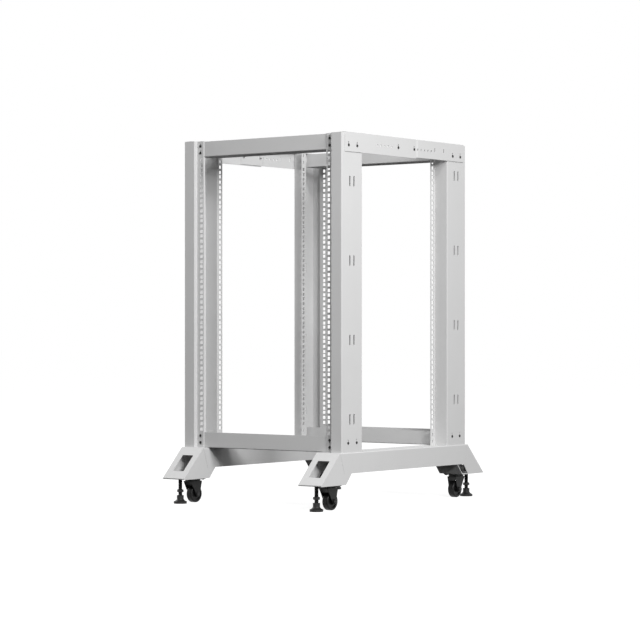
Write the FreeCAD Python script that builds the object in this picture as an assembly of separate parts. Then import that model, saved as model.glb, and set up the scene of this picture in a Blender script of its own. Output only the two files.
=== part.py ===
import FreeCAD, Part
import math
import os

# Four-post open-frame rack on castors and levelling feet.
# Millimetres. X to the right, Y to the rear, Z up. The floor is Z = 0, and the rack is centred on X and Y.

# Rack standard
UNIT = 44.45
UNIT_COUNT = 18
UNIT_HOLES = (6.35, 22.225, 38.1)
HOLE_SPAN = 465.1
HOLE_SIDE = 9.5

# Sheet metal
SHEET = 2.0
BEND_RADIUS = 0.5
SEAM = 0.5
SCREW_HOLE = 4.5

# Posts
FRAME_DEPTH = 622.0
POST_DEPTH = 97.0
FACE_WIDTH = 38.0
STRIP_WIDTH = 26.0
STRIP_RECESS = 12.3
HOLE_INSET = 9.55
EDGE_RETURN = 5.0
LIP_SHIFT = 9.2
LIP_LENGTH = 21.0
LIP_HOLE_OFFSET = 11.4
UNIT_MARGIN = 1.5
END_ZONE = 46.0
SLOT_LENGTH = 30.0
SLOT_WIDTH = 6.0
SLOT_PAIR_PITCH = 19.5
SLOT_UNITS = 5
SLOT_FIRST_HEIGHT = 92.75
SLOT_COUNT = 4
WEB_SCREW_PITCH = 40.0
WEB_SCREW_SHIFT = 2.0
WEB_SCREW_INSET = 31.0
WEB_SCREW_TRAVEL = 8.0

# Beams
BEAM_TOP_GAP = 1.5
BEAM_REAR_DROP = 3.5
BEAM_DEPTH = 70.0
BEAM_END_MARGIN = 10.0
BEAM_SCREW_SHIFT = 3.45
BEAM_SCREW_INSET = 14.5
BEAM_SCREW_PITCH = 20.0
BEAM_SCREW_TRAVEL = 5.5
BEAM_NOTCH_CLEARANCE = 1.0

# Top side rails
RAIL_HEIGHT = 53.0
RAIL_NESTED_DROP = 3.0
RAIL_FLANGE = 16.0
RAIL_SETBACK = 13.0
RAIL_OVERLAP = 100.0
RAIL_JOINT_PITCH = 80.0
RAIL_JOINT_INSET = 23.5
RAIL_JOGGLE_RUN = 8.0
RAIL_NEST_GAP = 0.2
RAIL_HOLE = 6.5
RAIL_HOLE_COUNT = 5
RAIL_HOLE_PITCH = 17.5
RAIL_ROW_GAP = 33.0
RAIL_SPARE_GAP = 18.0
RAIL_SPARE_PITCH = 48.0

# Floor rails and feet
FOOT_DROP = 31.0
FLOOR_RAIL_HEIGHT = 58.0
FLOOR_RAIL_WIDTH = 82.0
RAIL_NOSE = 9.0
RAIL_END_SLANT = 20.0
TOE_RUN = 88.0
GUSSET_LEG = 85.0
FOOT_TAIL = 18.0
FOOT_TAIL_RUN = 26.0
WINDOW_WIDTH = 41.0
WINDOW_LENGTH = 62.0
WINDOW_INSET = 30.0
WINDOW_CORNER = 2.0
TAB_WIDTH = 66.0
TAB_HEIGHT = 44.0

# Castors
SWIVEL_REACH = 8.5
CASTOR_TRAIL = 6.2
CASTOR_PLATE = 56.0
CASTOR_PLATE_THICK = 2.5
CASTOR_PLATE_CORNER = 6.0
CASTOR_BOLT_PITCH = 42.0
CASTOR_BOLT_HOLE = 6.4
KING_PIN = 8.0
RACE_DIAMETER = 44.0
RACE_HEIGHT = 5.2
RUNNING_GAP = 0.3
FIT_GAP = 0.12
FORK_SHEET = 2.5
FORK_GAP = 26.0
FORK_LENGTH = 46.0
FORK_EYE = 18.0
WHEEL_DIAMETER = 50.0
WHEEL_WIDTH = 20.0
WHEEL_ROUND = 4.0
WHEEL_DISH = 3.0
WHEEL_RIM = 7.0
HUB_DIAMETER = 18.0
HUB_STANDOFF = 0.3
AXLE_DIAMETER = 8.0
AXLE_HEAD = 2.0
AXLE_HEAD_DIAMETER = 12.8
WHEEL_TO_FORK = 10.5

# Levelling feet
LEVELLER_REACH = 64.5
STEM_DIAMETER = 12.0
STEM_TOP_HEIGHT = 90.0
STEM_SEAT = 10.0
STEM_HEX = 17.0
STEM_HEX_HEIGHT = 8.0
STEM_HEX_LEVEL = 33.0
PAD_DIAMETER = 38.0
PAD_RIM = 6.5
PAD_NECK = 20.0
PAD_HEIGHT = 24.0

# Levels and places worked out from the sizes above
CROWN_LOW = WHEEL_DIAMETER + WHEEL_TO_FORK
CROWN_HIGH = CROWN_LOW + FORK_SHEET
RACE_HIGH = CROWN_HIGH + RACE_HEIGHT
FOOT_CLEARANCE = RACE_HIGH + RUNNING_GAP + CASTOR_PLATE_THICK
RAIL_BOTTOM = FOOT_CLEARANCE + FOOT_DROP
RAIL_TOP = RAIL_BOTTOM + FLOOR_RAIL_HEIGHT
UNITS_HEIGHT = UNIT * UNIT_COUNT
POST_HEIGHT = UNITS_HEIGHT + 2 * (UNIT_MARGIN + END_ZONE)
POST_TOP = RAIL_TOP + POST_HEIGHT
UNITS_BOTTOM = RAIL_TOP + END_ZONE + UNIT_MARGIN
BEAM_HEIGHT = END_ZONE - BEAM_TOP_GAP
HOLE_X = HOLE_SPAN / 2
BAY_EDGE_X = HOLE_X - HOLE_INSET
STEP_X = BAY_EDGE_X + STRIP_WIDTH
HALF_WIDTH = STEP_X + FACE_WIDTH
HALF_DEPTH = FRAME_DEPTH / 2
FRONT = -HALF_DEPTH
LIP_X = HOLE_X + LIP_SHIFT
BEAM_SCREW_X = HOLE_X + BEAM_SCREW_SHIFT
WEB_MIDDLE = FRONT + POST_DEPTH / 2
WEB_SCREW_MIDDLE = WEB_MIDDLE + WEB_SCREW_SHIFT
RAIL_JOINT_Z = POST_TOP - RAIL_JOINT_INSET
RAIL_ROW_Z = RAIL_JOINT_Z - WEB_SCREW_TRAVEL / 2
TAB_SCREW_Z = RAIL_TOP + WEB_SCREW_INSET - WEB_SCREW_TRAVEL / 2
FLOOR_RAIL_OUTER_X = HALF_WIDTH + SHEET
FLOOR_RAIL_INNER_X = FLOOR_RAIL_OUTER_X - FLOOR_RAIL_WIDTH
FOOT_CENTRE_X = (FLOOR_RAIL_OUTER_X + FLOOR_RAIL_INNER_X) / 2
AXLE_HEIGHT = WHEEL_DIAMETER / 2

X_AXIS = FreeCAD.Vector(1, 0, 0)
Y_AXIS = FreeCAD.Vector(0, 1, 0)
Z_AXIS = FreeCAD.Vector(0, 0, 1)
ORIGIN = FreeCAD.Vector(0, 0, 0)


def vector(x, y, z):
    return FreeCAD.Vector(x, y, z)


def box(low, high):
    """A box between two opposite corners."""
    size = vector(*high) - vector(*low)
    return Part.makeBox(size.x, size.y, size.z, vector(*low))


def cylinder(diameter, start, end):
    """A round bar between two points."""
    run = vector(*end) - vector(*start)
    return Part.makeCylinder(diameter / 2, run.Length, vector(*start), run)


def polygon_prism(points, direction):
    """A prism over a flat polygon of space points."""
    wire = Part.makePolygon([vector(*p) for p in points + points[:1]])
    return Part.Face(wire).extrude(direction)


def bent_sheet(path, thickness, to_space, direction):
    """A sheet bent along a plan path of its middle surface, with rounded bends, extruded along direction.

    path holds (a, b) plan points, and to_space turns a plan point into a space point.
    """
    points = [FreeCAD.Vector(a, b, 0) for a, b in path]
    middle_radius = BEND_RADIUS + thickness / 2
    legs = [(points[i + 1] - points[i]).normalize() for i in range(len(points) - 1)]
    normals = [Z_AXIS.cross(leg) for leg in legs]
    starts = [FreeCAD.Vector(p) for p in points[:-1]]
    ends = [FreeCAD.Vector(p) for p in points[1:]]
    bends = []
    for i in range(len(legs) - 1):
        turn = legs[i].getAngle(legs[i + 1])
        side = 1 if legs[i].cross(legs[i + 1]).z > 0 else -1
        trim = middle_radius * math.tan(turn / 2)
        ends[i] = points[i + 1] - legs[i] * trim
        starts[i + 1] = points[i + 1] + legs[i + 1] * trim
        bends.append((ends[i] + normals[i] * side * middle_radius, side))

    def side_edges(sign):
        edges = []
        for i in range(len(legs)):
            shift = normals[i] * sign * thickness / 2
            first, last = starts[i] + shift, ends[i] + shift
            edges.append(Part.LineSegment(to_space(first), to_space(last)).toShape())
            if i < len(bends):
                centre, side = bends[i]
                following = starts[i + 1] + normals[i + 1] * sign * thickness / 2
                radius = middle_radius - side * sign * thickness / 2
                outward = (last - centre) + (following - centre)
                middle = centre + outward.normalize() * radius
                edges.append(Part.Arc(to_space(last), to_space(middle), to_space(following)).toShape())
        return edges

    left, right = side_edges(1), side_edges(-1)
    caps = []
    for place, normal in ((starts[0], normals[0]), (ends[-1], normals[-1])):
        half = normal * thickness / 2
        caps.append(Part.LineSegment(to_space(place + half), to_space(place - half)).toShape())
    wire = Part.Wire(Part.__sortEdges__(left + right + caps))
    return Part.Face(wire).extrude(direction)


def slot_through_x(y, z, length, width, x_low, x_high):
    """A cutter for an upright slot with round ends, cut along X."""
    reach = (length - width) / 2
    ends = [cylinder(width, (x_low, y, z + d), (x_high, y, z + d)) for d in (-reach, reach)]
    body = box((x_low, y - width / 2, z - reach), (x_high, y + width / 2, z + reach))
    return body.multiFuse(ends)


def screw_slot_through_x(y, z, x_low, x_high):
    """A cutter for the slot in which a side screw can be set up or down, cut along X."""
    return slot_through_x(y, z, WEB_SCREW_TRAVEL + SCREW_HOLE, SCREW_HOLE, x_low, x_high)


def screw_slot_through_y(x, z_low, z_high, y_low, y_high):
    """A cutter for an upright screw slot with round ends between two heights, cut along Y."""
    half = SCREW_HOLE / 2
    ends = [cylinder(SCREW_HOLE, (x, y_low, z), (x, y_high, z)) for z in (z_low, z_high)]
    return box((x - half, y_low, z_low), (x + half, y_high, z_high)).multiFuse(ends)


def web_screw_places():
    """The Y places of the two screws across a front post's web."""
    return [WEB_SCREW_MIDDLE - WEB_SCREW_PITCH / 2, WEB_SCREW_MIDDLE + WEB_SCREW_PITCH / 2]


def beam_screw_insets():
    """The distances of a beam's two screws from the nearer end of the post."""
    return [BEAM_SCREW_INSET, BEAM_SCREW_INSET + BEAM_SCREW_PITCH]


def unit_hole_heights():
    """The heights of the square holes, three to each rack unit."""
    return [UNITS_BOTTOM + UNIT * n + rise for n in range(UNIT_COUNT) for rise in UNIT_HOLES]


def front_right_post():
    """One post: web, front face, stepped hole strip, inner flange and lip, bent from one sheet."""
    half = SHEET / 2
    strip_y = FRONT + STRIP_RECESS
    inner_y = FRONT + POST_DEPTH
    path = [
        (BAY_EDGE_X + half, strip_y + EDGE_RETURN),
        (BAY_EDGE_X + half, strip_y + half),
        (STEP_X + half, strip_y + half),
        (STEP_X + half, FRONT + half),
        (HALF_WIDTH - half, FRONT + half),
        (HALF_WIDTH - half, inner_y - half),
        (LIP_X, inner_y - half),
        (LIP_X, inner_y + LIP_LENGTH),
    ]
    post = bent_sheet(path, SHEET, lambda p: vector(p.x, p.y, RAIL_TOP), Z_AXIS * POST_HEIGHT)
    cuts = []
    side = HOLE_SIDE / 2
    lip_hole_y = inner_y + LIP_HOLE_OFFSET
    for z in unit_hole_heights():
        strip_low = (HOLE_X - side, strip_y - SHEET, z - side)
        strip_high = (HOLE_X + side, strip_y + 2 * SHEET, z + side)
        lip_low = (LIP_X - SHEET, lip_hole_y - side, z - side)
        lip_high = (LIP_X + SHEET, lip_hole_y + side, z + side)
        cuts.append(box(strip_low, strip_high))
        cuts.append(box(lip_low, lip_high))
    x_low, x_high = HALF_WIDTH - 2 * SHEET, HALF_WIDTH + SHEET
    for n in range(SLOT_COUNT):
        z = RAIL_TOP + SLOT_FIRST_HEIGHT + n * SLOT_UNITS * UNIT
        for sign in (-1, 1):
            y = WEB_MIDDLE + sign * SLOT_PAIR_PITCH / 2
            cuts.append(slot_through_x(y, z, SLOT_LENGTH, SLOT_WIDTH, x_low, x_high))
    for end, inward in ((RAIL_TOP, 1), (POST_TOP, -1)):
        for y in web_screw_places():
            cuts.append(screw_slot_through_x(y, end + inward * WEB_SCREW_INSET, x_low, x_high))
        for inset in beam_screw_insets():
            near, far = sorted([end + inward * inset, end + inward * (inset - BEAM_SCREW_TRAVEL)])
            cuts.append(screw_slot_through_y(BEAM_SCREW_X, near, far, strip_y - SHEET, strip_y + 2 * SHEET))
            length, middle = far - near + SCREW_HOLE, (near + far) / 2
            cuts.append(slot_through_x(lip_hole_y, middle, length, SCREW_HOLE, LIP_X - SHEET, LIP_X + SHEET))
        low, high = sorted([end, end + inward * (END_ZONE + BEAM_NOTCH_CLEARANCE)])
        notch_low = (BAY_EDGE_X - SHEET, strip_y + SHEET, low)
        notch_high = (BAY_EDGE_X + 2 * SHEET, strip_y + SHEET + EDGE_RETURN, high)
        cuts.append(box(notch_low, notch_high))
    return post.cut(Part.makeCompound(cuts))


def turned(shape, axis):
    """A copy turned half round about an axis through the frame's middle."""
    copy = shape.copy()
    copy.rotate(vector(0, 0, (RAIL_TOP + POST_TOP) / 2), axis, 180)
    return copy


def mirrored(shape, normal):
    return shape.mirror(ORIGIN, normal)


def beam(front_y, bottom_z, outward, screw_heights):
    """A trough-shaped beam: a tall outer wall with two screw holes at each end, and a lower inner wall."""
    half = SHEET / 2
    reach = BEAM_SCREW_X + BEAM_END_MARGIN
    rear_y = front_y + BEAM_DEPTH
    inner_height = BEAM_HEIGHT - BEAM_REAR_DROP
    front_height = BEAM_HEIGHT if outward < 0 else inner_height
    rear_height = BEAM_HEIGHT if outward > 0 else inner_height
    path = [
        (front_y + half, bottom_z + front_height),
        (front_y + half, bottom_z + half),
        (rear_y - half, bottom_z + half),
        (rear_y - half, bottom_z + rear_height),
    ]
    trough = bent_sheet(path, SHEET, lambda p: vector(-reach, p.x, p.y), X_AXIS * 2 * reach)
    wall_y = front_y if outward < 0 else rear_y - SHEET
    cuts = []
    for x in (-BEAM_SCREW_X, BEAM_SCREW_X):
        for z in screw_heights:
            cuts.append(cylinder(SCREW_HOLE, (x, wall_y - SHEET, z), (x, wall_y + 2 * SHEET, z)))
    return trough.cut(Part.makeCompound(cuts))


def beams():
    """The four beams: the front pair behind the front strips, the rear pair before the rear strips."""
    front_y = FRONT + STRIP_RECESS + SHEET
    rear_y = HALF_DEPTH - STRIP_RECESS - SHEET - BEAM_DEPTH
    top_z = POST_TOP - END_ZONE
    top_screws = [POST_TOP - inset for inset in beam_screw_insets()]
    bottom_screws = [RAIL_TOP + inset for inset in beam_screw_insets()]
    return {
        "beam_top_front": beam(front_y, top_z, -1, top_screws),
        "beam_top_rear": beam(rear_y, top_z, 1, top_screws),
        "beam_bottom_front": beam(front_y, RAIL_TOP, -1, bottom_screws),
        "beam_bottom_rear": beam(rear_y, RAIL_TOP, 1, bottom_screws),
    }


def rail_hole_row(first_y, z):
    """Cutters for one row of small holes along a side rail."""
    x_low, x_high = HALF_WIDTH - 3 * SHEET, HALF_WIDTH + 2 * SHEET
    places = [first_y + n * RAIL_HOLE_PITCH for n in range(RAIL_HOLE_COUNT)]
    return [cylinder(RAIL_HOLE, (x_low, y, z), (x_high, y, z)) for y in places]


def top_rails():
    """The two pieces of the right side rail: the front one outside, the rear one nested behind it."""
    front_end = FRONT + RAIL_SETBACK
    rear_end = HALF_DEPTH - RAIL_SETBACK
    overlap_low, overlap_high = -RAIL_OVERLAP / 2, RAIL_OVERLAP / 2
    bottom = POST_TOP - RAIL_HEIGHT
    post_z = POST_TOP - WEB_SCREW_INSET
    outer_x, x_high = HALF_WIDTH + SHEET, HALF_WIDTH + 2 * SHEET
    x_low = HALF_WIDTH - 3 * SHEET
    joints = [-RAIL_JOINT_PITCH / 2, RAIL_JOINT_PITCH / 2]

    front_wall = box((HALF_WIDTH, front_end, bottom), (outer_x, overlap_high, POST_TOP))
    flange_x, flange_top = HALF_WIDTH - RAIL_FLANGE, POST_TOP + SHEET
    front_flange = box((flange_x, front_end, POST_TOP), (outer_x, overlap_high, flange_top))
    row_length = (RAIL_HOLE_COUNT - 1) * RAIL_HOLE_PITCH
    cuts = rail_hole_row(joints[0] - RAIL_ROW_GAP - row_length, RAIL_ROW_Z)
    cuts += [screw_slot_through_x(y, post_z, x_low, x_high) for y in web_screw_places()]
    cuts += [screw_slot_through_x(y, RAIL_JOINT_Z, x_low, x_high) for y in joints]
    front_piece = front_wall.fuse(front_flange).removeSplitter().cut(Part.makeCompound(cuts))

    nested_x = HALF_WIDTH - RAIL_NEST_GAP - SHEET / 2
    joggle_y = overlap_high + SHEET
    wall_x = HALF_WIDTH + SHEET / 2
    path = [
        (nested_x, overlap_low),
        (nested_x, joggle_y),
        (wall_x, joggle_y + RAIL_JOGGLE_RUN),
        (wall_x, rear_end),
    ]
    wall_bottom = bottom + RAIL_NESTED_DROP
    wall_rise = Z_AXIS * (POST_TOP - wall_bottom)
    rear_wall = bent_sheet(path, SHEET, lambda p: vector(p.x, p.y, wall_bottom), wall_rise)
    flange_start = joggle_y + RAIL_JOGGLE_RUN + SHEET
    rear_flange = box((flange_x, flange_start, POST_TOP), (outer_x, rear_end, flange_top))
    row_start = joints[1] + RAIL_SPARE_GAP
    cuts = rail_hole_row(row_start, RAIL_ROW_Z)
    spare_start = row_start + RAIL_HOLE_COUNT * RAIL_HOLE_PITCH
    spares = [spare_start, spare_start + RAIL_SPARE_PITCH]
    cuts += [screw_slot_through_x(-y, post_z, x_low, x_high) for y in web_screw_places()]
    cuts += [screw_slot_through_x(y, RAIL_JOINT_Z, x_low, x_high) for y in joints + spares]
    rear_piece = rear_wall.fuse(rear_flange).removeSplitter().cut(Part.makeCompound(cuts))
    return front_piece, rear_piece


def floor_rail():
    """The right floor rail: a trough open below, with slanted ends and a screw tab up each post's web."""
    half = SHEET / 2
    inner_x, outer_x = FLOOR_RAIL_INNER_X, FLOOR_RAIL_OUTER_X
    long_end = HALF_DEPTH + RAIL_NOSE
    short_end = long_end - RAIL_END_SLANT
    path = [
        (outer_x - half, RAIL_BOTTOM),
        (outer_x - half, RAIL_TOP - half),
        (inner_x + half, RAIL_TOP - half),
        (inner_x + half, RAIL_BOTTOM),
    ]
    trough = bent_sheet(path, SHEET, lambda p: vector(p.x, -long_end, p.y), Y_AXIS * 2 * long_end)
    side_view = [
        (inner_x, -long_end, RAIL_TOP),
        (inner_x, long_end, RAIL_TOP),
        (inner_x, short_end, RAIL_BOTTOM),
        (inner_x, -short_end, RAIL_BOTTOM),
    ]
    rail = trough.common(polygon_prism(side_view, X_AXIS * FLOOR_RAIL_WIDTH))
    tab_x = HALF_WIDTH - 2 * SHEET
    for sign in (-1, 1):
        middle = -sign * WEB_SCREW_MIDDLE
        low = (tab_x, middle - TAB_WIDTH / 2, RAIL_TOP - SHEET)
        tab = box(low, (tab_x + SHEET, middle + TAB_WIDTH / 2, RAIL_TOP + TAB_HEIGHT))
        holes = []
        for offset in (-WEB_SCREW_PITCH / 2, WEB_SCREW_PITCH / 2):
            start = (tab_x - SHEET, middle + offset, TAB_SCREW_Z)
            end = (tab_x + 2 * SHEET, middle + offset, TAB_SCREW_Z)
            holes.append(cylinder(SCREW_HOLE, start, end))
        rail = rail.fuse(tab.cut(Part.makeCompound(holes)))
    return rail.removeSplitter()


def foot():
    """The front right foot: sloped toe plate with a window, floor plate, rising tail and two side gussets.

    The right gusset runs back to the tail. The left one stops short of it and leaves a gap.
    """
    half = SHEET / 2
    inner_x, outer_x = FLOOR_RAIL_INNER_X, FLOOR_RAIL_OUTER_X
    rise = RAIL_TOP - FOOT_CLEARANCE
    slope = math.atan2(rise, TOE_RUN)
    inset = half / math.sin(slope)
    tip_inset = half / math.tan(slope / 2)
    nose_y = FRONT - RAIL_NOSE - SEAM
    seam_low_y = nose_y + RAIL_END_SLANT
    toe_y = nose_y - TOE_RUN
    tail_y = FRONT + FOOT_TAIL
    floor_z = FOOT_CLEARANCE + half
    path = [
        (nose_y + inset, RAIL_TOP),
        (toe_y + tip_inset, floor_z),
        (tail_y, floor_z),
        (tail_y + FOOT_TAIL_RUN, RAIL_BOTTOM),
    ]
    shell = bent_sheet(path, SHEET, lambda p: vector(inner_x, p.x, p.y), X_AXIS * FLOOR_RAIL_WIDTH)
    above = box((inner_x - SHEET, toe_y, RAIL_TOP), (outer_x + SHEET, FRONT, RAIL_TOP + TOE_RUN))
    over_tail = box((inner_x - SHEET, tail_y, RAIL_BOTTOM), (outer_x + SHEET, tail_y + TOE_RUN, RAIL_TOP))
    seam_low = (inner_x, seam_low_y, RAIL_BOTTOM)
    seam_edge = [(inner_x, nose_y, RAIL_TOP), seam_low, (inner_x, seam_low_y, RAIL_TOP)]
    behind_seam = polygon_prism(seam_edge, X_AXIS * FLOOR_RAIL_WIDTH)
    shell = shell.cut(Part.makeCompound([above, over_tail, behind_seam]))
    toe_edge = [
        (seam_low_y, RAIL_BOTTOM),
        (nose_y, RAIL_TOP),
        (toe_y + SHEET, FOOT_CLEARANCE + SHEET * math.tan(slope)),
        (toe_y + SHEET, FOOT_CLEARANCE),
    ]
    short_foot = [(toe_y + GUSSET_LEG, FOOT_CLEARANCE)]
    full_foot = [(tail_y, FOOT_CLEARANCE), (tail_y + FOOT_TAIL_RUN, RAIL_BOTTOM)]
    for x, heel in ((inner_x, short_foot), (outer_x - SHEET, full_foot)):
        gusset = [(x, y, z) for y, z in toe_edge + heel]
        shell = shell.fuse(polygon_prism(gusset, X_AXIS * SHEET))
    shell = shell.removeSplitter()

    window = Part.makeBox(WINDOW_WIDTH, WINDOW_LENGTH, 4 * SHEET)
    window.translate(vector(-WINDOW_WIDTH / 2, -WINDOW_LENGTH, -3 * SHEET))
    upright = [edge for edge in window.Edges if abs(edge.tangentAt(edge.FirstParameter).z) > 0.99]
    window = window.makeFillet(WINDOW_CORNER, upright)
    window.translate(vector(0, -WINDOW_INSET, 0))
    window.rotate(ORIGIN, X_AXIS, math.degrees(slope))
    window.translate(vector(FOOT_CENTRE_X, nose_y, RAIL_TOP))
    floor_low, floor_high = FOOT_CLEARANCE - SHEET, FOOT_CLEARANCE + 2 * SHEET
    stem_y = FRONT - LEVELLER_REACH
    stem_low = (FOOT_CENTRE_X, stem_y, floor_low)
    stem_high = (FOOT_CENTRE_X, stem_y, floor_high)
    stem_hole = cylinder(STEM_DIAMETER + 2 * RUNNING_GAP, stem_low, stem_high)
    cuts = [window, stem_hole] + castor_bolt_cutters(floor_low, floor_high)
    return shell.cut(Part.makeCompound(cuts))


def castor_bolt_cutters(z_low, z_high):
    """Cutters for the four bolts of the front right castor plate."""
    middle_y = FRONT - SWIVEL_REACH
    half = CASTOR_BOLT_PITCH / 2
    places = [(FOOT_CENTRE_X + a * half, middle_y + b * half) for a in (-1, 1) for b in (-1, 1)]
    return [cylinder(CASTOR_BOLT_HOLE, (x, y, z_low), (x, y, z_high)) for x, y in places]


def castor_plate():
    """The castor's top plate with its bolt holes and king-pin hole."""
    half = CASTOR_PLATE / 2
    y = FRONT - SWIVEL_REACH
    z_low = FOOT_CLEARANCE - CASTOR_PLATE_THICK
    plate = box((FOOT_CENTRE_X - half, y - half, z_low), (FOOT_CENTRE_X + half, y + half, FOOT_CLEARANCE))
    upright = [edge for edge in plate.Edges if abs(edge.tangentAt(edge.FirstParameter).z) > 0.99]
    plate = plate.makeFillet(CASTOR_PLATE_CORNER, upright)
    pin_hole = cylinder(
        KING_PIN + 2 * FIT_GAP, (FOOT_CENTRE_X, y, z_low - SHEET), (FOOT_CENTRE_X, y, FOOT_CLEARANCE + SHEET)
    )
    cutters = castor_bolt_cutters(z_low - SHEET, FOOT_CLEARANCE + SHEET)
    return plate.cut(Part.makeCompound(cutters + [pin_hole]))


def castor_fork():
    """The castor's fork: a race and king pin over a crown, with two tapered legs to the axle."""
    y = FRONT - SWIVEL_REACH
    axle_y = y + CASTOR_TRAIL
    pin_high = FOOT_CLEARANCE - RUNNING_GAP
    centre = FOOT_CENTRE_X
    half = FORK_GAP / 2 + FORK_SHEET
    front_y = y - FORK_LENGTH / 2
    rear_y = y + FORK_LENGTH / 2
    eye = FORK_EYE / 2
    crown = box((centre - half, front_y, CROWN_LOW), (centre + half, rear_y, CROWN_HIGH))
    race = cylinder(RACE_DIAMETER, (centre, y, CROWN_HIGH), (centre, y, RACE_HIGH))
    pin = cylinder(KING_PIN, (centre, y, RACE_HIGH), (centre, y, pin_high))
    reach = math.hypot(axle_y - front_y, CROWN_LOW - AXLE_HEIGHT)
    lean = math.atan2(axle_y - front_y, CROWN_LOW - AXLE_HEIGHT) + math.asin(eye / reach)
    back_reach = math.hypot(rear_y - axle_y, CROWN_LOW - AXLE_HEIGHT)
    back_lean = math.asin(eye / back_reach) + math.atan2(rear_y - axle_y, CROWN_LOW - AXLE_HEIGHT)
    front_touch = (axle_y - eye * math.cos(lean), AXLE_HEIGHT - eye * math.sin(lean))
    rear_touch = (axle_y + eye * math.cos(back_lean), AXLE_HEIGHT - eye * math.sin(back_lean))
    fork = crown.multiFuse([race, pin])
    for x in (centre - half, centre + half - FORK_SHEET):
        outline = [
            vector(x, rear_touch[0], rear_touch[1]),
            vector(x, rear_y, CROWN_LOW),
            vector(x, rear_y, CROWN_HIGH),
            vector(x, front_y, CROWN_HIGH),
            vector(x, front_y, CROWN_LOW),
            vector(x, front_touch[0], front_touch[1]),
        ]
        edges = [Part.LineSegment(a, b).toShape() for a, b in zip(outline, outline[1:])]
        low = vector(x, axle_y, AXLE_HEIGHT - eye)
        edges.append(Part.Arc(outline[-1], low, outline[0]).toShape())
        leg = Part.Face(Part.Wire(edges)).extrude(X_AXIS * FORK_SHEET)
        fork = fork.fuse(leg)
    bore = AXLE_DIAMETER + 2 * FIT_GAP
    hole = cylinder(bore, (centre - 2 * half, axle_y, AXLE_HEIGHT), (centre + 2 * half, axle_y, AXLE_HEIGHT))
    return fork.removeSplitter().cut(hole)


def castor_axle():
    """The axle bolt through both legs, with a flat head at each end."""
    axle_y = FRONT - SWIVEL_REACH + CASTOR_TRAIL
    half = FORK_GAP / 2 + FORK_SHEET
    low, high = FOOT_CENTRE_X - half, FOOT_CENTRE_X + half
    first = (low - AXLE_HEAD, axle_y, AXLE_HEIGHT)
    last = (high + AXLE_HEAD, axle_y, AXLE_HEIGHT)
    bar = cylinder(AXLE_DIAMETER, first, last)
    left = cylinder(AXLE_HEAD_DIAMETER, first, (low, axle_y, AXLE_HEIGHT))
    right = cylinder(AXLE_HEAD_DIAMETER, (high, axle_y, AXLE_HEIGHT), last)
    return bar.multiFuse([left, right]).removeSplitter()


def castor_wheel():
    """The wheel: a rounded tread, dished sides and a hub, turned about the axle."""
    axle_y = FRONT - SWIVEL_REACH + CASTOR_TRAIL
    tread, half = WHEEL_DIAMETER / 2, WHEEL_WIDTH / 2
    bore = AXLE_DIAMETER / 2 + FIT_GAP
    hub, hub_half = HUB_DIAMETER / 2, FORK_GAP / 2 - HUB_STANDOFF
    rim, web = tread - WHEEL_RIM, half - WHEEL_DISH
    shoulder = tread - WHEEL_ROUND
    side = WHEEL_ROUND * math.sqrt(0.5)

    def place(x, r):
        return vector(x, 0, r)

    right = [(hub_half, bore), (hub_half, hub), (web, hub), (web, rim), (half, rim), (half, shoulder)]
    left = [(-x, r) for x, r in reversed(right)]
    flat = half - WHEEL_ROUND
    edges = [Part.LineSegment(place(*a), place(*b)).toShape() for a, b in zip(right, right[1:])]
    right_round = place(flat + side, shoulder + side)
    left_round = place(-flat - side, shoulder + side)
    edges.append(Part.Arc(place(half, shoulder), right_round, place(flat, tread)).toShape())
    edges.append(Part.LineSegment(place(flat, tread), place(-flat, tread)).toShape())
    edges.append(Part.Arc(place(-flat, tread), left_round, place(-half, shoulder)).toShape())
    edges += [Part.LineSegment(place(*a), place(*b)).toShape() for a, b in zip(left, left[1:])]
    edges.append(Part.LineSegment(place(-hub_half, bore), place(hub_half, bore)).toShape())
    wheel = Part.Face(Part.Wire(edges)).revolve(ORIGIN, X_AXIS, 360)
    wheel.translate(vector(FOOT_CENTRE_X, axle_y, AXLE_HEIGHT))
    return wheel


def leveller_stem():
    """The levelling foot's threaded stem with a hexagon to turn it by."""
    y = FRONT - LEVELLER_REACH
    bar = cylinder(STEM_DIAMETER, (FOOT_CENTRE_X, y, STEM_SEAT), (FOOT_CENTRE_X, y, STEM_TOP_HEIGHT))
    corner = STEM_HEX / math.sqrt(3)
    points = []
    for n in range(6):
        angle = math.radians(60 * n)
        x = FOOT_CENTRE_X + corner * math.cos(angle)
        points.append((x, y + corner * math.sin(angle), STEM_HEX_LEVEL))
    return bar.fuse(polygon_prism(points, Z_AXIS * STEM_HEX_HEIGHT)).removeSplitter()


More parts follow.
